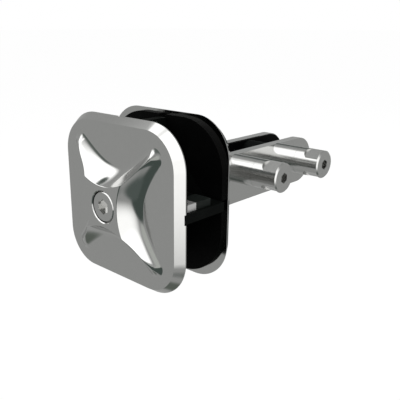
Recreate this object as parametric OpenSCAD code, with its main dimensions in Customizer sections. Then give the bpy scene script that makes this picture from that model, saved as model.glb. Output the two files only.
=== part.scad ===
// Glass spider fitting. Two square clamp plates hold four panes of a glass wall where
// their corners meet, and two fins behind them hold the edge of a glass fin.
// The origin is on the plates' axis, at the middle of the rear plate's back face.
// +X is the side that the clamp caps stand out on, +Y runs back along the fins, +Z is up.
// Sizes are in millimetres. The front clamp is drawn closed on its panes.

/* [Clamp plates] */
// Width and height of both clamp plates
plate_w = 100; // [98:0.5:104]
// Corner radius of both plates
plate_corner_r = 25; // [22:0.5:26]
// Thickness of each plate
plate_t = 5.8; // [5.6:0.1:7]
// How far the bevelled outer rim leans in
rim_in = 3.6; // [2.5:0.1:4]
// How deep the bevelled rim is
rim_deep = 5.2; // [4.5:0.1:5.4]
// Thickness of the glass between the pads
glass_t = 28.8; // [26:0.1:31]

/* [Raised cross of the front plate] */
// Height of the hub over the plate's face
hub_h = 11; // [10:0.5:12]
// Distance from the hub's middle to the axis of each hollow side
wall_axis = 56; // [55:0.5:57]
// Radius of a hollow side where it meets the plate
wall_foot_r = 35.2; // [34.5:0.1:35.6]
// Radius of a hollow side at the top of the hub
wall_top_r = 43.5; // [42.5:0.1:43.5]
// Radius at which the arms' sloping tops meet the plate
roof_foot_r = 53; // [52:0.5:54]
// Radius at which the arms' sloping tops leave the hub
roof_top_r = 22.6; // [21:0.2:24]
// Distance from the hub's middle to the middle of each arm's round nose
nose_axis = 43.5; // [43:0.5:45]
// Radius of the fillet at the foot of the hollow sides
fillet_r = 5.2; // [5.1:0.1:5.3]

/* [Clamp screw] */
// Radius of the screw's thread
screw_r = 6; // [5:0.1:6.5]
// Radius of the screw's head
head_r = 9; // [8.5:0.1:9.5]
// Height of the screw's head
head_h = 8; // [7:0.5:9]
// Gap round the head in its recess
head_gap = 0.5; // [0.3:0.1:0.8]
// Width across the flats of the head's socket
head_socket = 8; // [6:0.5:9]
// Length of the screw under its head
screw_len = 32; // [30:0.5:34]

/* [Pads and sleeve] */
// Thickness of the front and rear pads
pad_t = 3; // [2:0.1:4]
// Distance from the plates' edge in to the pads' edge
pad_in = 2.1; // [1.6:0.1:3]
// Radius of the pads' outer corners
pad_corner_r = 31; // [27:0.5:32]
// Radius of the sleeve in the middle of the fitting
sleeve_r = 10; // [9:0.1:11]
// Depth of the sleeve's end in the rear plate
spigot_deep = 4; // [3:0.5:4]
// Radius of the sleeve's end in the rear plate
spigot_r = 8; // [7.5:0.1:8.5]

/* [Support cross] */
// Thickness of the cross's arms
arm_t = 5.6; // [5:0.1:6]
// Distance from the plates' edge in to the end of a level arm
arm_in = 0.5; // [0.5:0.5:2]
// Distance from the plates' edge in to the end of an upright arm
upright_in = 4; // [4:0.5:6]
// Wall of the ring round the sleeve
ring_wall = 3; // [2.5:0.1:3.5]
// Depth of the grooves behind the front plate
groove_deep = 1.1; // [0.8:0.1:1.4]
// Distance from the middle to each point of the corner plate
corner_reach = 38; // [36:0.5:40]
// How far the corner plate lies below the pads round it
corner_sunk = 0.2; // [0.1:0.1:0.6]

/* [Setting blocks] */
// Distance from the plates' edge in to the far side of each block
block_in = 2.5; // [1.5:0.5:3.5]
// Length of the blocks across the fitting
block_w = 11.5; // [10:0.5:12]
// Height of the blocks over the arm
block_h = 4.2; // [3.5:0.1:5]
// Depth of the metal block
bar_deep = 7.2; // [6:0.2:8]
// Depth of the rubber block
rubber_deep = 11.7; // [10:0.1:12]

/* [Fins] */
// Length of the fins behind the rear plate
fin_len = 136.6; // [134:0.2:146]
// Height of the fins, whose back ends are fully round
fin_h = 34; // [32:0.5:38]
// Thickness of each fin
fin_t = 7; // [6.5:0.1:8]
// Distance between the two fins
fin_gap = 20; // [19:0.5:21]
// Thickness of the liner on each fin
liner_t = 1; // [0.8:0.1:1.2]
// How far the liner stays inside the fin's edge
liner_in = 0.6; // [0.4:0.1:1]
// Radius of the countersunk screws' threads
fixing_r = 2; // [1.8:0.1:2.2]
// Radius of the countersunk heads
fixing_head_r = 4; // [3.8:0.1:4.4]
// Length of the countersunk screws
fixing_len = 16; // [14:1:18]
// Distance of the countersunk screws from the middle height
fixing_z = 9; // [8:0.5:10]

/* [Clamp studs] */
// Distance from the rear plate to the first stud
stud_front = 42.2; // [41:0.2:44]
// Distance between the two studs
stud_pitch = 48.7; // [46:0.1:50]
// Height of the studs over the middle of the fins
stud_z = 8; // [7:0.5:8]
// Radius of the studs
stud_r = 5; // [4.5:0.1:5.5]
// Radius of the bush round each stud
bush_r = 8; // [7.5:0.1:8.5]
// Radius of the sleeves and caps
barrel_r = 9.5; // [9:0.1:9.8]
// Length of each sleeve
barrel_len = 19.6; // [18:0.2:21]
// Length of each cap
cap_len = 19.05; // [17:0.05:21]
// Seam between a sleeve and its cap
seam = 0.15; // [0.1:0.05:0.4]
// Depth of the stud's hole in the cap
cap_bore = 11; // [9:0.5:11]
// Distance from a cap's axis to its flats
flat_dist = 8.2; // [7.6:0.1:8.6]
// Length from the start of the flats to the cap's end
flat_len = 12.8; // [11:0.1:14]
// Thickness of the round rim left at the cap's end
cap_rim = 1.1; // [1:0.1:1.5]
// Radius of the cutter that ends each flat
cutter_r = 5.6; // [5.6:0.1:8]
// Bevel at the end of each cap
cap_bevel = 0.8; // [0.5:0.1:0.9]
// Width across the flats of the cap's socket
cap_socket = 6; // [5:0.5:6]

/* [Hidden] */
$fn = 60;

steel = [0.78, 0.78, 0.76];
rubber = [0.05, 0.05, 0.05];
nylon = [0.07, 0.07, 0.08];

// Clearances
slip = 0.3;          // between curved faces that do not carry each other
thread_gap = 0.05;   // round a thread or a tight seat
groove_gap = 0.15;   // each side of an arm in its groove
bite = 1;            // how far a raised form reaches into its plate
cut = 1;             // how far a cutter passes the face it opens

// Depths along the plates' axis, counted forward from the rear plate's back face
rear_face = plate_t;
seat_rear = rear_face + pad_t;
seat_front = seat_rear + glass_t;
front_back = seat_front + pad_t;
front_face = front_back + plate_t;
hub_top = front_face + hub_h;
corner_face = seat_rear - corner_sunk;
arm_front = front_back + groove_deep - groove_gap;

pads_w = plate_w - 2 * pad_in;
arm_reach = plate_w / 2 - arm_in;
upright_reach = plate_w / 2 - upright_in;
block_x = plate_w / 2 - block_in - block_w / 2;
block_z = arm_t / 2 + block_h / 2;
ring_r = sleeve_r + groove_gap + ring_wall;
head_sunk = 0.4;
head_seat = hub_top - head_sunk - head_h;
recess_r = head_r + head_gap;
recess_bevel = 0.5;

wall_lean = (wall_top_r - wall_foot_r) / hub_h;
roof_lean = (roof_foot_r - roof_top_r) / hub_h;
wall_angle = atan(1 / wall_lean);
fillet_run = fillet_r * tan(wall_angle / 2);
floor_lift = 0.02;
nose_foot_r = 7.6;
nose_spread = 1.5;
// Radius and height at each turn of a nose, from its foot to its top
nose_turns = [
    [nose_foot_r, 0], [6.4, 0.45], [5.4, 1], [4.8, 1.75], [4.2, 2.6],
    [3.4, 3.4], [2.5, 4], [1.6, 4.35], [0.8, 4.5], [0, 4.55]
];
cross_r = nose_axis - 2.5;

fin_inner = fin_gap / 2;
liner_inner = fin_inner - liner_t;
fin_outer = fin_inner + fin_t;
fin_r = fin_h / 2;
fixing_x = fin_inner + fin_t / 2;
stud_rear = stud_front + stud_pitch;
barrel_end = fin_outer + barrel_len;
cap_start = barrel_end + seam;
stud_end = cap_start + cap_bore - slip;

// Turns a form drawn flat so that its height runs forward, towards the viewer.
module forward(depth) {
    translate([0, -depth, 0])
        rotate([90, 0, 0])
            children();
}

// Turns a form drawn flat so that its height runs along X from the given place.
module sideways(x, y = 0, z = 0) {
    translate([x, y, z])
        rotate([90, 0, 90])
            children();
}

// A square with round corners, drawn flat.
module round_square(w, r) {
    square([w, w - 2 * r], center = true);
    square([w - 2 * r, w], center = true);
    for (x = [-1, 1], y = [-1, 1])
        translate([x * (w / 2 - r), y * (w / 2 - r)])
            circle(r);
}

// One strip of the bevelled rim's block, wide at its foot.
module rim_strip() {
    linear_extrude(plate_w - 2 * plate_corner_r, center = true)
        polygon([
            [-plate_w / 2, 0],
            [plate_w / 2, 0],
            [plate_w / 2 - rim_in, rim_deep],
            [-plate_w / 2 + rim_in, rim_deep]
        ]);
}

// A clamp plate with its pad side at zero and its bevelled rim at the outer side.
module clamp_plate() {
    corner = plate_w / 2 - plate_corner_r;
    linear_extrude(plate_t - rim_deep)
        round_square(plate_w, plate_corner_r);
    translate([0, 0, plate_t - rim_deep]) {
        rotate([90, 0, 90])
            rim_strip();
        rotate([90, 0, 0])
            rim_strip();
        for (x = [-1, 1], y = [-1, 1])
            translate([x * corner, y * corner, 0])
                cylinder(h = rim_deep, r1 = plate_corner_r, r2 = plate_corner_r - rim_in);
    }
}

// The round cutter that leaves a hollow side of the raised cross: a flat floor just
// over the plate's face, a fillet at the foot, and a leaning wall.
module hollow_side() {
    reach = fillet_run * cos(wall_angle);
    rise = fillet_run * sin(wall_angle);
    over = hub_h + bite;
    translate([wall_axis, 0, floor_lift])
        rotate_extrude() {
            polygon([
                [0, 0],
                [wall_foot_r - fillet_run, 0],
                [wall_foot_r - fillet_run, fillet_r],
                [wall_foot_r + reach, rise],
                [wall_foot_r + over * wall_lean, over],
                [0, over]
            ]);
            intersection() {
                translate([wall_foot_r - fillet_run, fillet_r])
                    circle(fillet_r);
                polygon([
                    [wall_foot_r - fillet_run - bite, fillet_r],
                    [wall_foot_r - fillet_run - bite, -bite],
                    [wall_foot_r + reach, -bite],
                    [wall_foot_r + reach, rise],
                    [wall_foot_r - fillet_run, fillet_r]
                ]);
            }
        }
}

// The round nose at the end of an arm: a dome with a sloping foot.
module arm_nose() {
    translate([nose_axis, 0, 0])
        rotate_extrude()
            polygon(concat([[0, -bite], [nose_foot_r + nose_spread, -bite]], nose_turns));
}

// The stock of the raised cross: a disc under a sloping roof, and four noses.
module cross_stock() {
    intersection() {
        translate([0, 0, -bite])
            cylinder(h = hub_h + bite, r1 = roof_foot_r + bite * roof_lean, r2 = roof_top_r);
        translate([0, 0, -bite])
            cylinder(h = hub_h + 2 * bite, r = cross_r);
    }
    for (a = [45 : 90 : 315])
        rotate([0, 0, a])
            arm_nose();
}

module front_plate() {
    groove_w = arm_t + 2 * groove_gap;
    color(steel)
        difference() {
            union() {
                forward(front_back)
                    clamp_plate();
                forward(front_face)
                    cross_stock();
            }
            forward(front_face)
                for (a = [0 : 90 : 270])
                    rotate([0, 0, a])
                        hollow_side();
            forward(head_seat)
                cylinder(h = hub_h + head_h, r = recess_r);
            forward(hub_top - recess_bevel)
                cylinder(h = recess_bevel + cut, r1 = recess_r, r2 = recess_r + recess_bevel + cut);
            forward(front_back - cut)
                cylinder(h = plate_t + hub_h, r = screw_r + slip);
            forward(front_back - cut)
                linear_extrude(groove_deep + cut) {
                    square([plate_w + 2 * cut, groove_w], center = true);
                    square([groove_w, plate_w + 2 * cut], center = true);
                }
        }
}

// The outline of one pad, which fills the quarter between two arms of the cross.
module pad_quarter(side, level) {
    start = arm_t / 2 + slip;
    intersection() {
        round_square(pads_w, pad_corner_r);
        mirror([side < 0 ? 1 : 0, 0])
            mirror([0, level < 0 ? 1 : 0])
                translate([start, start])
                    square(pads_w);
    }
}

module front_pad(side, level) {
    color(rubber)
        forward(seat_front)
            linear_extrude(pad_t)
                difference() {
                    pad_quarter(side, level);
                    circle(ring_r + slip);
                }
}

// A rear pad leaves the middle to the corner plate.
module rear_pad(side, level) {
    color(rubber)
        forward(rear_face)
            linear_extrude(pad_t)
                difference() {
                    pad_quarter(side, level);
                    corner_outline(corner_reach + slip * sqrt(2));
                }
}

module clamp_screw() {
    socket_deep = head_h / 2;
    head_bevel = 0.5;
    color(steel)
        difference() {
            union() {
                forward(head_seat)
                    cylinder(h = head_h - head_bevel, r = head_r);
                forward(head_seat + head_h - head_bevel)
                    cylinder(h = head_bevel, r1 = head_r, r2 = head_r - head_bevel);
                forward(head_seat - screw_len)
                    cylinder(h = screw_len + bite, r = screw_r);
            }
            forward(head_seat + head_h - socket_deep)
                rotate([0, 0, 30])
                    cylinder(h = socket_deep + cut, r = head_socket / sqrt(3), $fn = 6);
        }
}

// The threaded sleeve stands on the rear plate and takes the clamp screw.
module hub_sleeve() {
    sleeve_front = seat_front - cut;
    color(steel)
        difference() {
            union() {
                forward(rear_face)
                    cylinder(h = sleeve_front - rear_face, r = sleeve_r);
                forward(rear_face - spigot_deep)
                    cylinder(h = spigot_deep + bite, r = spigot_r);
            }
            forward(rear_face - spigot_deep - cut)
                cylinder(h = sleeve_front + 2 * cut, r = screw_r + thread_gap);
        }
}

module support_cross() {
    color(nylon)
        difference() {
            union() {
                forward(corner_face)
                    linear_extrude(arm_front - corner_face) {
                        square([2 * arm_reach, arm_t], center = true);
                        square([arm_t, 2 * upright_reach], center = true);
                    }
                forward(corner_face)
                    cylinder(h = front_back - groove_gap - corner_face, r = ring_r);
            }
            forward(corner_face - cut)
                cylinder(h = arm_front - corner_face + 2 * cut, r = sleeve_r + groove_gap);
        }
}

// A square standing on its corner.
module corner_outline(reach) {
    rotate(45)
        square(reach * sqrt(2), center = true);
}

// The thin plate behind the cross lies on the rear plate, between the rear pads.
module corner_plate() {
    color(nylon)
        forward(rear_face)
            linear_extrude(corner_face - rear_face)
                difference() {
                    corner_outline(corner_reach);
                    circle(sleeve_r + groove_gap);
                }
}

module setting_bar(side) {
    color(steel)
        translate([side * block_x, -seat_front + groove_gap + bar_deep / 2, block_z])
            cube([block_w, bar_deep, block_h], center = true);
}

module setting_pad(side) {
    start = groove_gap + bar_deep + slip;
    color(rubber)
        translate([side * block_x, -seat_front + start + rubber_deep / 2, block_z])
            cube([block_w, rubber_deep, block_h], center = true);
}

// Places a form at each of the four countersunk screws.
module at_fixings() {
    for (x = [-1, 1], z = [-1, 1])
        translate([x * fixing_x, 0, z * fixing_z])
            children();
}

// A countersunk screw or, with a gap, the room it needs.
module fixing(gap) {
    head_deep = fixing_head_r - fixing_r;
    forward(rear_face - head_deep)
        cylinder(h = head_deep, r1 = fixing_r + gap, r2 = fixing_head_r + gap);
    forward(rear_face - fixing_len - gap)
        cylinder(h = fixing_len + gap, r = fixing_r + gap);
}

module rear_plate() {
    color(steel)
        difference() {
            forward(rear_face)
                mirror([0, 0, 1])
                    clamp_plate();
            forward(rear_face - spigot_deep - groove_gap)
                cylinder(h = plate_t, r = spigot_r + thread_gap);
            at_fixings()
                fixing(thread_gap);
        }
}

module fin_screws() {
    socket_r = fixing_r / 2 + 0.4;
    color(steel)
        at_fixings()
            difference() {
                fixing(0);
                forward(rear_face - fixing_r / 2)
                    cylinder(h = fixing_r, r = socket_r, $fn = 6);
            }
}

// A fin's outline with its holes: flat, straight at the plate and fully round behind.
module fin_outline(inset, hole_r) {
    difference() {
        union() {
            translate([0, -fin_r + inset])
                square([fin_len - fin_r, fin_h - 2 * inset]);
            translate([fin_len - fin_r, 0])
                circle(fin_r - inset);
        }
        for (y = [stud_front, stud_rear])
            translate([y, stud_z])
                circle(hole_r);
    }
}

module fin_left() {
    color(steel)
        difference() {
            sideways(-fin_outer)
                linear_extrude(fin_t)
                    fin_outline(0, stud_r + thread_gap);
            at_fixings()
                fixing(thread_gap);
        }
}

module fin_right() {
    color(steel)
        difference() {
            sideways(fin_inner)
                linear_extrude(fin_t)
                    fin_outline(0, stud_r + slip);
            at_fixings()
                fixing(thread_gap);
        }
}

module liner(x) {
    color(rubber)
        sideways(x)
            linear_extrude(liner_t)
                difference() {
                    fin_outline(liner_in, bush_r + slip);
                    translate([-cut, -fin_h])
                        square([cut + slip, 2 * fin_h]);
                }
}

module stud(y) {
    color(steel)
        sideways(-fin_outer, y, stud_z)
            cylinder(h = fin_outer + stud_end, r = stud_r);
}

module bush(y) {
    color(nylon)
        sideways(-fin_inner + groove_gap, y, stud_z)
            difference() {
                cylinder(h = fin_gap - 2 * groove_gap, r = bush_r);
                translate([0, 0, -cut])
                    cylinder(h = fin_gap + 2 * cut, r = stud_r + groove_gap);
            }
}

module sleeve(y) {
    color(steel)
        sideways(fin_outer, y, stud_z)
            difference() {
                cylinder(h = barrel_len, r = barrel_r);
                translate([0, 0, -cut])
                    cylinder(h = barrel_len + 2 * cut, r = stud_r + groove_gap);
            }
}

// The cutter for one flat: round where the flat runs out, square at the cap's rim.
module flat_cutter() {
    run_out = cap_len - flat_len + cutter_r;
    translate([flat_dist, 0, run_out])
        rotate([0, 90, 0])
            cylinder(h = barrel_r, r = cutter_r);
    translate([flat_dist, -cutter_r, run_out])
        cube([barrel_r, 2 * cutter_r, cap_len - cap_rim - run_out]);
}

// A clamp cap: round body and rim, three milled flats and a hexagon socket.
module cap(y) {
    socket_deep = cap_len - cap_bore - 2.5;
    color(steel)
        sideways(cap_start, y, stud_z)
            difference() {
                union() {
                    cylinder(h = cap_len - cap_bevel, r = barrel_r);
                    translate([0, 0, cap_len - cap_bevel])
                        cylinder(h = cap_bevel, r1 = barrel_r, r2 = barrel_r - cap_bevel);
                }
                translate([0, 0, -cut])
                    cylinder(h = cap_bore + cut, r = stud_r + thread_gap);
                translate([0, 0, cap_len - socket_deep])
                    rotate([0, 0, 30])
                        cylinder(h = socket_deep + cut, r = cap_socket / sqrt(3), $fn = 6);
                for (a = [0, 120, 240])
                    rotate([0, 0, a])
                        flat_cutter();
            }
}

front_plate();
front_pad(-1, 1);  // front_pad_top_left
front_pad(1, 1);  // front_pad_top_right
front_pad(-1, -1);  // front_pad_bottom_left
front_pad(1, -1);  // front_pad_bottom_right
clamp_screw();
hub_sleeve();
support_cross();
corner_plate();
setting_bar(-1);  // setting_bar_left
setting_bar(1);  // setting_bar_right
setting_pad(-1);  // setting_pad_left
setting_pad(1);  // setting_pad_right
rear_pad(-1, 1);  // rear_pad_top_left
rear_pad(1, 1);  // rear_pad_top_right
rear_pad(-1, -1);  // rear_pad_bottom_left
rear_pad(1, -1);  // rear_pad_bottom_right
rear_plate();
fin_left();
fin_right();
liner(-fin_inner);  // liner_left
liner(liner_inner);  // liner_right
fin_screws();
stud(stud_front);
stud(stud_rear);
bush(stud_front);  // bush_front
bush(stud_rear);  // bush_rear
sleeve(stud_front);  // sleeve_front
sleeve(stud_rear);  // sleeve_rear
cap(stud_front);  // cap_front
cap(stud_rear);  // cap_rear
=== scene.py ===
import math

import bpy
import numpy as np
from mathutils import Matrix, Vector


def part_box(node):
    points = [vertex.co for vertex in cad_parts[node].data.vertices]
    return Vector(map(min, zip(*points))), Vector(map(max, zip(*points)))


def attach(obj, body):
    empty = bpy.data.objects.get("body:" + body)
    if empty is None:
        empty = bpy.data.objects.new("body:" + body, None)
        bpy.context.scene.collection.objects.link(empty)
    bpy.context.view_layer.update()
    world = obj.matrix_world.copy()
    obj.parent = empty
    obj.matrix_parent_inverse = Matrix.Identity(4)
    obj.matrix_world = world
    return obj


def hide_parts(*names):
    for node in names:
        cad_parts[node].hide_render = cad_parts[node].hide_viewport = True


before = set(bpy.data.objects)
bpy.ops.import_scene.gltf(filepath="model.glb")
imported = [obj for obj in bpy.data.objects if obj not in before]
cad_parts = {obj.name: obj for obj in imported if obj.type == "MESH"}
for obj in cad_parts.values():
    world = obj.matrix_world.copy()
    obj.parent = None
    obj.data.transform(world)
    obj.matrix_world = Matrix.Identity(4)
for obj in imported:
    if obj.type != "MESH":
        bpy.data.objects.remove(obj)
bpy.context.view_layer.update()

scene = bpy.context.scene
print("frame loaded:", len(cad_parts), "pieces")

cameraSettings = {
    "place": (0.24118, -0.24472, 0.10027),
    "turn": (71.97, 0.0, 43.9),
    "lens": 50.14,
    "sensor": 36.0,
    "shiftX": 0.0518,
    "shiftY": 0.010,
    "farthest": 60.0,
}


def addCamera(settings):
    data = bpy.data.cameras.new("studioCamera")
    data.lens = settings["lens"]
    data.sensor_width = settings["sensor"]
    data.shift_x = settings["shiftX"]
    data.shift_y = settings["shiftY"]
    data.clip_end = settings["farthest"]
    camera = bpy.data.objects.new("studioCamera", data)
    camera.location = settings["place"]
    camera.rotation_euler = [math.radians(a) for a in settings["turn"]]
    scene.collection.objects.link(camera)
    scene.camera = camera


addCamera(cameraSettings)
print("camera placed")


def addNode(tree, kind, **values):
    node = tree.nodes.new(kind)
    for key, value in values.items():
        setattr(node, key, value)
    return node


def link(tree, source, target):
    tree.links.new(source, target)


def feed(tree, socket, value):
    # the socket gets a number, a colour or what another node gives
    if isinstance(value, bpy.types.NodeSocket):
        link(tree, value, socket)
    else:
        socket.default_value = value


def mathNode(tree, operation, *values):
    # operation on one to three numbers or sockets
    node = addNode(tree, "ShaderNodeMath", operation=operation)
    for socket, value in zip(node.inputs, values):
        feed(tree, socket, value)
    return node.outputs[0]


def colourMix(tree, factor, a, b):
    # a where factor is 0, b where it is 1
    node = addNode(tree, "ShaderNodeMix", data_type="RGBA")
    for index, value in ((0, factor), (6, a), (7, b)):
        feed(tree, node.inputs[index], value)
    return node.outputs[2]


def ramp(tree, value, low, high, start=0.0, end=1.0, **options):
    # value's range from low to high, spread over start to end
    node = addNode(tree, "ShaderNodeMapRange", **options)
    for socket, item in zip(node.inputs, (value, low, high, start, end)):
        feed(tree, socket, item)
    return node.outputs[0]


studioSettings = {
    "base": (0.43, 0.435, 0.43),      # what polished steel sees where nothing else stands
    "diffuse": 0.80,                  # strength of the plain room light
    "floorHeight": -0.30,
    "floorHalf": 30.0,
    "floorColour": (0.93, 0.93, 0.93),
    "floorLift": 0.96,                # share of plain white that the camera sees in the floor
    # each panel: azimuth from +X, elevation, inner and outer angle, colour
    "panels": [
        (222, 50, 20, 34, (2.1, 2.1, 2.1)),
        (310, 55, 24, 34, (2.1, 2.1, 2.1)),
        (225, -80, 14, 25, (0.15, 0.17, 0.15)),
        (336, 8, 14, 46, (1.75, 1.75, 1.74)),
        (314, 28, 10, 23, (2.0, 2.0, 2.0)),
        (277, 8, 9, 17, (0.62, 0.64, 0.61)),
        (283, -33, 24, 31, (0.085, 0.108, 0.098)),
        (241, 10, 8, 18, (0.16, 0.185, 0.17)),
        (187, 47, 3, 8, (0.12, 0.14, 0.13)),
        (308, -50, 10, 18, (0.12, 0.145, 0.135)),
        (0, -50, 9, 17, (0.13, 0.15, 0.14)),
        (129, 27, 5, 15, (0.08, 0.095, 0.09)),
        (119, -15, 9, 16, (0.025, 0.032, 0.03)),
    ],
}


def direction(azimuth, elevation):
    # unit vector: cos e * cos a, cos e * sin a, sin e
    a, e = math.radians(azimuth), math.radians(elevation)
    return (math.cos(e) * math.cos(a), math.cos(e) * math.sin(a), math.sin(e))


def buildWorld(settings):
    # reflections see soft panels round a gray room; the camera and clear glass see white
    world = bpy.data.worlds.new("studioWorld")
    scene.world = world
    world.use_nodes = True
    tree = world.node_tree
    tree.nodes.clear()
    place = addNode(tree, "ShaderNodeTexCoord")
    colour = (*settings["base"], 1.0)
    for azimuth, elevation, inner, outer, panelColour in settings["panels"]:
        # cosine of the angle to the panel's middle, eased from its outer to its inner edge
        dot = addNode(tree, "ShaderNodeVectorMath", operation="DOT_PRODUCT")
        link(tree, place.outputs["Generated"], dot.inputs[0])
        dot.inputs[1].default_value = direction(azimuth, elevation)
        outerEdge, innerEdge = math.cos(math.radians(outer)), math.cos(math.radians(inner))
        edge = ramp(tree, dot.outputs["Value"], outerEdge, innerEdge, interpolation_type="SMOOTHSTEP")
        colour = colourMix(tree, edge, colour, (*panelColour, 1.0))
    panels = addNode(tree, "ShaderNodeBackground")
    link(tree, colour, panels.inputs["Color"])
    room = addNode(tree, "ShaderNodeBackground")
    room.inputs["Color"].default_value = (1, 1, 1, 1)
    room.inputs["Strength"].default_value = settings["diffuse"]
    white = addNode(tree, "ShaderNodeBackground")
    white.inputs["Color"].default_value = (1, 1, 1, 1)
    rays = addNode(tree, "ShaderNodeLightPath")
    lit = addNode(tree, "ShaderNodeMixShader")
    link(tree, rays.outputs["Is Glossy Ray"], lit.inputs[0])
    link(tree, room.outputs[0], lit.inputs[1])
    link(tree, panels.outputs[0], lit.inputs[2])
    seen = addNode(tree, "ShaderNodeMixShader")
    clear = mathNode(tree, "MAXIMUM", rays.outputs["Is Camera Ray"], rays.outputs["Is Transmission Ray"])
    link(tree, clear, seen.inputs[0])
    link(tree, lit.outputs[0], seen.inputs[1])
    link(tree, white.outputs[0], seen.inputs[2])
    output = addNode(tree, "ShaderNodeOutputWorld")
    link(tree, seen.outputs[0], output.inputs["Surface"])


def buildFloor(settings):
    half, height = settings["floorHalf"], settings["floorHeight"]
    corners = np.array([(-half, -half), (half, -half), (half, half), (-half, half)])
    points = np.column_stack([corners, np.full(4, height)])
    mesh = bpy.data.meshes.new("studioFloor")
    mesh.from_pydata(points.tolist(), [], [(0, 1, 2, 3)])
    floor = bpy.data.objects.new("studioFloor", mesh)
    scene.collection.objects.link(floor)
    floor.visible_glossy = False
    material = bpy.data.materials.new("paleFloor")
    material.use_nodes = True
    tree = material.node_tree
    tree.nodes.clear()
    matt = addNode(tree, "ShaderNodeBsdfDiffuse")
    matt.inputs["Color"].default_value = (*settings["floorColour"], 1)
    glow = addNode(tree, "ShaderNodeEmission")
    rays = addNode(tree, "ShaderNodeLightPath")
    mixed = addNode(tree, "ShaderNodeMixShader")
    lift = mathNode(tree, "MULTIPLY", rays.outputs["Is Camera Ray"], settings["floorLift"])
    link(tree, lift, mixed.inputs[0])
    link(tree, matt.outputs[0], mixed.inputs[1])
    link(tree, glow.outputs[0], mixed.inputs[2])
    output = addNode(tree, "ShaderNodeOutputMaterial")
    link(tree, mixed.outputs[0], output.inputs["Surface"])
    mesh.materials.append(material)


lampTarget = Vector((0.0, 0.04, 0.0))      # the middle of the fitting
lampSettings = {
    # name: place, width and height in metres, watts
    "keyLamp": ((0.9, -1.3, 1.5), 1.2, 1.2, 26.0),
    "fillLamp": ((-1.4, -0.9, 0.9), 1.4, 1.0, 12.0),
    "backLamp": ((-0.4, 1.8, 1.3), 1.4, 0.8, 14.0),
}


def addLamps(settings):
    for name, (place, width, height, watts) in settings.items():
        data = bpy.data.lights.new(name, "AREA")
        data.shape = "RECTANGLE"
        data.size, data.size_y = width, height
        data.energy = watts
        lamp = bpy.data.objects.new(name, data)
        lamp.location = place
        lamp.rotation_euler = (lampTarget - Vector(place)).to_track_quat("-Z", "Y").to_euler()
        lamp.visible_glossy = False
        scene.collection.objects.link(lamp)


buildWorld(studioSettings)
buildFloor(studioSettings)
addLamps(lampSettings)
scene.view_settings.view_transform = "Standard"
print("studio built")


def newGroup(name, inputs, outputs):
    # a node group with these sockets, and the nodes at its two ends
    group = bpy.data.node_groups.new(name, "ShaderNodeTree")
    for label, kind, value in inputs:
        socket = group.interface.new_socket(name=label, in_out="INPUT", socket_type=kind)
        socket.default_value = value
    for label, kind in outputs:
        group.interface.new_socket(name=label, in_out="OUTPUT", socket_type=kind)
    start = addNode(group, "NodeGroupInput")
    end = addNode(group, "NodeGroupOutput")
    return group, start, end


def noise(tree, vector, scale, detail):
    node = addNode(tree, "ShaderNodeTexNoise")
    link(tree, vector, node.inputs["Vector"])
    feed(tree, node.inputs["Scale"], scale)
    node.inputs["Detail"].default_value = detail
    return node.outputs["Fac"]


polishSettings = {
    "detail": 3.0,
    "grainShare": 0.6,       # the rest is cloud
    "faintest": 0.3,         # the part of the noise that is spread over the roughness and the shade
    "strongest": 0.7,
    "darkest": 0.985,
    "palest": 1.015,
}


def polishGroup(settings):
    # fine polishing marks: stretched noise for the grain, broad noise for cloudy wiping
    group, start, end = newGroup(
        "polishMarks",
        [
            ("Along", "NodeSocketVector", (60.0, 60.0, 2500.0)),
            ("Cloud Scale", "NodeSocketFloat", 45.0),
            ("Low", "NodeSocketFloat", 0.10),
            ("High", "NodeSocketFloat", 0.18),
            ("Colour", "NodeSocketColor", (0.56, 0.56, 0.55, 1.0)),
        ],
        [("Colour", "NodeSocketColor"), ("Roughness", "NodeSocketFloat"), ("Height", "NodeSocketFloat")],
    )
    place = addNode(group, "ShaderNodeTexCoord").outputs["Object"]
    stretched = addNode(group, "ShaderNodeVectorMath", operation="MULTIPLY")
    link(group, place, stretched.inputs[0])
    link(group, start.outputs["Along"], stretched.inputs[1])
    grain = noise(group, stretched.outputs[0], 1.0, settings["detail"])
    cloud = noise(group, place, start.outputs["Cloud Scale"], settings["detail"])
    someGrain = mathNode(group, "MULTIPLY", grain, settings["grainShare"])
    someCloud = mathNode(group, "MULTIPLY", cloud, 1 - settings["grainShare"])
    both = mathNode(group, "ADD", someGrain, someCloud)
    faintest, strongest = settings["faintest"], settings["strongest"]
    rough = ramp(group, both, faintest, strongest, start.outputs["Low"], start.outputs["High"])
    link(group, rough, end.inputs["Roughness"])
    shade = ramp(group, both, faintest, strongest, settings["darkest"], settings["palest"])
    tint = addNode(group, "ShaderNodeVectorMath", operation="SCALE")
    link(group, start.outputs["Colour"], tint.inputs[0])
    link(group, shade, tint.inputs["Scale"])
    link(group, tint.outputs[0], end.inputs["Colour"])
    link(group, grain, end.inputs["Height"])
    return group


mouldSettings = {
    "speckleDetail": 2.0,
    "dustScale": 70.0,
    "dustDetail": 4.0,
    "dustFrom": 0.45,        # dust starts where the broad noise passes this and is full at the next
    "dustFull": 0.75,
    "smoothest": 0.42,       # roughness, and what the speckle adds to it
    "speckleRough": 0.25,
}


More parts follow.
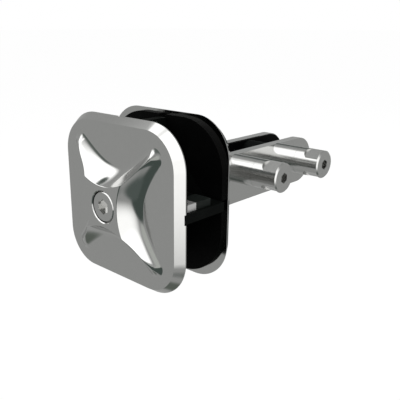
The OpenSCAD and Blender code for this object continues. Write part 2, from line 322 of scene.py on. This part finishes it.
def mouldGroup(settings):
    # moulded rubber and nylon: fine speckle, with paler dust where broad noise is high
    group, start, end = newGroup(
        "mouldedSkin",
        [
            ("Speckle Scale", "NodeSocketFloat", 1500.0),
            ("Dust", "NodeSocketFloat", 0.3),
            ("Colour", "NodeSocketColor", (0.01, 0.01, 0.01, 1.0)),
            ("Dust Colour", "NodeSocketColor", (0.03, 0.032, 0.03, 1.0)),
        ],
        [("Colour", "NodeSocketColor"), ("Roughness", "NodeSocketFloat"), ("Height", "NodeSocketFloat")],
    )
    place = addNode(group, "ShaderNodeTexCoord").outputs["Object"]
    speckle = noise(group, place, start.outputs["Speckle Scale"], settings["speckleDetail"])
    broad = noise(group, place, settings["dustScale"], settings["dustDetail"])
    mask = ramp(group, broad, settings["dustFrom"], settings["dustFull"])
    dusty = mathNode(group, "MULTIPLY", mask, start.outputs["Dust"])
    skin = colourMix(group, dusty, start.outputs["Colour"], start.outputs["Dust Colour"])
    link(group, skin, end.inputs["Colour"])
    rough = mathNode(group, "MULTIPLY_ADD", speckle, settings["speckleRough"], settings["smoothest"])
    link(group, rough, end.inputs["Roughness"])
    link(group, speckle, end.inputs["Height"])
    return group


polishMarks = polishGroup(polishSettings)
mouldedSkin = mouldGroup(mouldSettings)


def finishFrom(name, settings):
    # one material that places the group with its own values
    material = bpy.data.materials.new(name)
    material.use_nodes = True
    tree = material.node_tree
    tree.nodes.clear()
    shader = addNode(tree, "ShaderNodeBsdfPrincipled")
    shader.inputs["Metallic"].default_value = settings["metallic"]
    shader.inputs["IOR"].default_value = settings["ior"]
    marks = addNode(tree, "ShaderNodeGroup", node_tree=settings["group"])
    for label, value in settings["values"].items():
        marks.inputs[label].default_value = value
    link(tree, marks.outputs["Colour"], shader.inputs["Base Color"])
    link(tree, marks.outputs["Roughness"], shader.inputs["Roughness"])
    relief = addNode(tree, "ShaderNodeBump")
    relief.inputs["Strength"].default_value = settings["bump"]
    relief.inputs["Distance"].default_value = settings["depth"]
    link(tree, marks.outputs["Height"], relief.inputs["Height"])
    link(tree, relief.outputs["Normal"], shader.inputs["Normal"])
    output = addNode(tree, "ShaderNodeOutputMaterial")
    link(tree, shader.outputs[0], output.inputs["Surface"])
    return material


steelColour = (0.56, 0.56, 0.55, 1.0)
polished = {"group": polishMarks, "metallic": 1.0, "bump": 0.04, "depth": 0.00002, "ior": 1.5}
moulded = {"group": mouldedSkin, "metallic": 0.0, "bump": 0.12, "depth": 0.00004}
finishSettings = {
    # Along is the noise's cells per metre in X, Y and Z: plates are polished in no one direction,
    # fins along Y, turned parts round X and screws round Y. Low and High are roughness
    "plateSteel": {
        **polished,
        "values": {"Along": (420.0, 420.0, 420.0), "Low": 0.07, "High": 0.12, "Colour": steelColour},
    },
    "finSteel": {
        **polished,
        "values": {"Along": (900.0, 40.0, 900.0), "Low": 0.10, "High": 0.16, "Colour": steelColour},
    },
    "turnedSteel": {
        **polished,
        "values": {"Along": (1600.0, 30.0, 30.0), "Low": 0.17, "High": 0.25, "Colour": steelColour},
    },
    "screwSteel": {
        **polished,
        "values": {"Along": (30.0, 1200.0, 30.0), "Low": 0.08, "High": 0.14, "Colour": steelColour},
    },
    "blockMetal": {
        **polished,
        "bump": 0.25,
        "depth": 0.00005,
        "values": {
            "Along": (300.0, 1500.0, 300.0), "Low": 0.38, "High": 0.55, "Colour": (0.84, 0.84, 0.83, 1.0),
        },
    },
    "padRubber": {
        **moulded,
        "ior": 1.12,
        "values": {"Colour": (0.0008, 0.0008, 0.0008, 1.0), "Dust Colour": (0.003, 0.0034, 0.0032, 1.0)},
    },
    "blockRubber": {
        **moulded,
        "ior": 1.25,
        "values": {"Colour": (0.005, 0.007, 0.006, 1.0), "Dust Colour": (0.013, 0.016, 0.014, 1.0)},
    },
    "blackNylon": {
        **moulded,
        "bump": 0.08,
        "depth": 0.00003,
        "ior": 1.1,
        "values": {"Colour": (0.002, 0.0024, 0.0022, 1.0), "Dust Colour": (0.006, 0.007, 0.0065, 1.0)},
    },
}
finishes = {name: finishFrom(name, settings) for name, settings in finishSettings.items()}
print("finishes made:", len(finishes))

pieceFinishes = {
    "plateSteel": ("front_plate", "rear_plate"),
    "finSteel": ("fin_left", "fin_right"),
    "turnedSteel": ("stud_front", "stud_rear", "sleeve_front", "sleeve_rear", "cap_front", "cap_rear"),
    "screwSteel": ("clamp_screw", "hub_sleeve", "fin_screws"),
    "blockMetal": ("setting_bar_left", "setting_bar_right"),
    "padRubber": (
        "front_pad_top_left", "front_pad_top_right", "front_pad_bottom_left", "front_pad_bottom_right",
        "rear_pad_top_left", "rear_pad_top_right", "rear_pad_bottom_left", "rear_pad_bottom_right",
        "liner_left", "liner_right",
    ),
    "blockRubber": ("setting_pad_left", "setting_pad_right"),
    "blackNylon": ("support_cross", "corner_plate", "bush_front", "bush_rear"),
}


def dress(finishName, nodes):
    # the nodes' own meshes take the finish
    for node in nodes:
        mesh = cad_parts[node].data
        mesh.materials.clear()
        mesh.materials.append(finishes[finishName])


for finishName, nodes in pieceFinishes.items():
    dress(finishName, nodes)
print("pieces dressed")

plateSettings = {
    "hubHeight": 0.011,
    "recess": 0.010,         # outer edge of the bevel round the screw head
    "faceHalf": 0.0464,      # the flat face, inside the rim
    "faceCorner": 0.0214,
    "footOut": 0.0226,       # a hollow side's foot, on its own axis
    "footBend": 0.02075,     # how gently that foot turns between its two arms
    "filletRun": 0.0047,     # width of the fillet, and of the wall above it up to the hub
    "wallRun": 0.0057,
    "footSlope": 0.3,        # rise over run at the foot, at the fillet's top and at the hub
    "wallSlope": 1.0,
    "hubSlope": 1.8,
    "roofTop": 0.0226,       # the roof falls from the hub's height here to the face there
    "roofFoot": 0.053,
    "tipOut": 0.0445,        # middle and radius of the circle that closes an arm's foot
    "tipRadius": 0.0062,
    "armSpread": 0.7,        # how fast that circle's limit widens towards the hub
    "edge": 0.0005,          # softness of the polished edges
    "tipEdge": 0.0012,       # what is added to it at the tips, from this far out and over this run
    "tipEdgeFrom": 0.036,
    "tipEdgeRun": 0.010,
    "turns": 720,
    "rings": 112,
    "innerRing": 0.0116,     # the first close ring
    "outerMargin": 0.0003,   # how far past the foot the last close ring stands
    "footFrom": 0.015,       # the foot is looked for from here to the roof's foot, at this many points
    "footTries": 1200,
    "creaseAngle": 28.0,     # the rim and the back are sharp past this
    "faceSlack": 2e-6,       # how near the face and the recess's edge a point counts as on them
    "recessSlack": 3e-5,
    "sameDigits": 7,         # corners that agree to this many decimals are one point
}


def softMin(a, b, width):
    # the lower of two; within width of each other, a mix of the two less width * share * rest
    share = np.clip(0.5 + 0.5 * (b - a) / width, 0.0, 1.0)
    return b * (1 - share) + a * share - width * share * (1 - share)


def footDistance(x, z, settings):
    # how far a point is inside the foot of the cross. Each side's foot is the hyperbola
    # out = footOut - bend + sqrt(bend squared + across squared), and a circle closes each tip
    bend = settings["footBend"]
    distance = np.full(x.shape, np.inf)
    for out, across in ((x, z), (-x, z), (z, x), (-z, x)):
        reach = np.sqrt(bend ** 2 + across ** 2)
        lean = across / reach
        gap = settings["footOut"] - bend + reach - out
        distance = np.minimum(distance, gap / np.sqrt(1 + lean ** 2))
    along = (np.abs(x) + np.abs(z)) / math.sqrt(2)
    across = (np.abs(x) - np.abs(z)) / math.sqrt(2)
    past = along - settings["tipOut"]
    limit = settings["tipRadius"] + settings["armSpread"] * np.maximum(-past, 0)
    tip = limit - np.hypot(np.maximum(past, 0), across)
    return softMin(distance, tip, settings["edge"])


def reliefHeight(x, z, settings):
    # a parabola from the foot to the fillet's top, a second one for the hollow wall above it,
    # and over both a roof, the cone that falls from the hub's flat top to the face
    run, start, slope = settings["filletRun"], settings["footSlope"], settings["wallSlope"]
    fromAxis = np.hypot(x, z)
    nearTip = (fromAxis - settings["tipEdgeFrom"]) / settings["tipEdgeRun"]
    soft = settings["edge"] + settings["tipEdge"] * np.clip(nearTip, 0, 1)
    inside = np.maximum(footDistance(x, z, settings), 0)
    fillet = np.minimum(inside, run)
    above = np.maximum(inside - run, 0)
    steeper = (settings["hubSlope"] - slope) / (2 * settings["wallRun"])
    wall = start * fillet + (slope - start) * fillet ** 2 / (2 * run) + slope * above + steeper * above ** 2
    fall = (settings["roofFoot"] - fromAxis) / (settings["roofFoot"] - settings["roofTop"])
    roof = softMin(np.maximum(settings["hubHeight"] * fall, soft), settings["hubHeight"], soft)
    return softMin(wall, roof, soft)


def faceOutline(cos, sin, settings):
    # distance from the axis to a rounded square: to its side, or where that is past the side's
    # straight part, to the corner's circle
    middle = settings["faceHalf"] - settings["faceCorner"]
    side = settings["faceHalf"] / np.maximum(np.abs(cos), np.abs(sin))
    lead = middle * (np.abs(cos) + np.abs(sin))
    corner = lead + np.sqrt(np.maximum(lead ** 2 - 2 * middle ** 2 + settings["faceCorner"] ** 2, 0))
    return np.where(side * np.minimum(np.abs(cos), np.abs(sin)) <= middle, side, corner)


def footOutline(cos, sin, settings):
    # distance from the axis to the foot: the farthest of many points on a ray that is inside it
    tries = np.linspace(settings["footFrom"], settings["roofFoot"], settings["footTries"])
    within = footDistance(cos[:, None] * tries, sin[:, None] * tries, settings) > 0
    return tries[len(tries) - 1 - np.argmax(within[:, ::-1], axis=1)]


def reliefGrid(settings):
    # a grid of turn by ring: x = radius cos, z = radius sin, with the rings close together
    # from the hub to just past the foot and one more at the face's outline
    turns, rings = settings["turns"], settings["rings"]
    angle = np.arange(turns) * 2 * math.pi / turns
    cos, sin = np.cos(angle), np.sin(angle)
    foot = footOutline(cos, sin, settings) + settings["outerMargin"]
    inner = settings["innerRing"]
    close = inner + (foot - inner)[:, None] * np.linspace(0, 1, rings)
    radius = np.column_stack([np.full(turns, settings["recess"]), close, faceOutline(cos, sin, settings)])
    x, z = radius * cos[:, None], radius * sin[:, None]
    height = reliefHeight(x, z, settings)
    height[:, 0] = settings["hubHeight"]
    count = radius.shape[1]
    turn, ring = np.arange(turns)[:, None], np.arange(count - 1)
    here = (turn * count + ring).ravel()
    following = ((turn + 1) % turns * count + ring).ravel()
    quads = np.column_stack([here, here + 1, following + 1, following])
    return x.ravel(), z.ravel(), height.ravel(), quads


def keptTriangles(source, face, settings):
    # the node's rim, back, grooves and recess: its triangles are loose, so corners in one place
    # become one point, and triangles on the face or above it, outside the recess, are left out
    points = np.empty(len(source.vertices) * 3)
    source.vertices.foreach_get("co", points)
    corners = np.empty(len(source.loops), dtype=int)
    source.loops.foreach_get("vertex_index", corners)
    points = points.reshape(-1, 3).round(settings["sameDigits"])
    points, merged = np.unique(points, axis=0, return_inverse=True)
    triangles = merged.ravel()[corners].reshape(-1, 3)
    onFace = points[:, 1] < face + settings["faceSlack"]
    inRecess = np.hypot(points[:, 0], points[:, 2]) < settings["recess"] + settings["recessSlack"]
    triangles = triangles[~onFace[triangles].all(axis=1) | inRecess[triangles].all(axis=1)]
    used, triangles = np.unique(triangles, return_inverse=True)
    return points[used], triangles.reshape(-1, 3)


def smoothPlate(mesh, offset, settings):
    # smooth all over, with creases only between the kept triangles, whose points start at offset
    mesh.polygons.foreach_set("use_smooth", np.ones(len(mesh.polygons), dtype=bool))
    mesh.set_sharp_from_angle(angle=math.radians(settings["creaseAngle"]))
    ends = np.empty(len(mesh.edges) * 2, dtype=int)
    mesh.edges.foreach_get("vertices", ends)
    sharp = np.empty(len(mesh.edges), dtype=bool)
    mesh.edges.foreach_get("use_edge_sharp", sharp)
    sharp &= ends.reshape(-1, 2).max(axis=1) >= offset
    mesh.edges.foreach_set("use_edge_sharp", sharp)


def buildFrontPlate(settings):
    # the CAD rim, back and recess, with the raised cross drawn as one smooth surface
    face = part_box("front_plate")[0][1] + settings["hubHeight"]
    x, z, height, quads = reliefGrid(settings)
    points, triangles = keptTriangles(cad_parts["front_plate"].data, face, settings)
    allPoints = np.vstack([np.column_stack([x, face - height, z]), points])
    mesh = bpy.data.meshes.new("frontPlateSmooth")
    mesh.from_pydata(allPoints.tolist(), [], quads.tolist() + (triangles + len(x)).tolist())
    smoothPlate(mesh, len(x), settings)
    mesh.materials.append(finishes["plateSteel"])
    piece = bpy.data.objects.new("frontPlateSmooth", mesh)
    scene.collection.objects.link(piece)
    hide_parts("front_plate")
    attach(piece, "front_clamp")


buildFrontPlate(plateSettings)
print("front plate built")
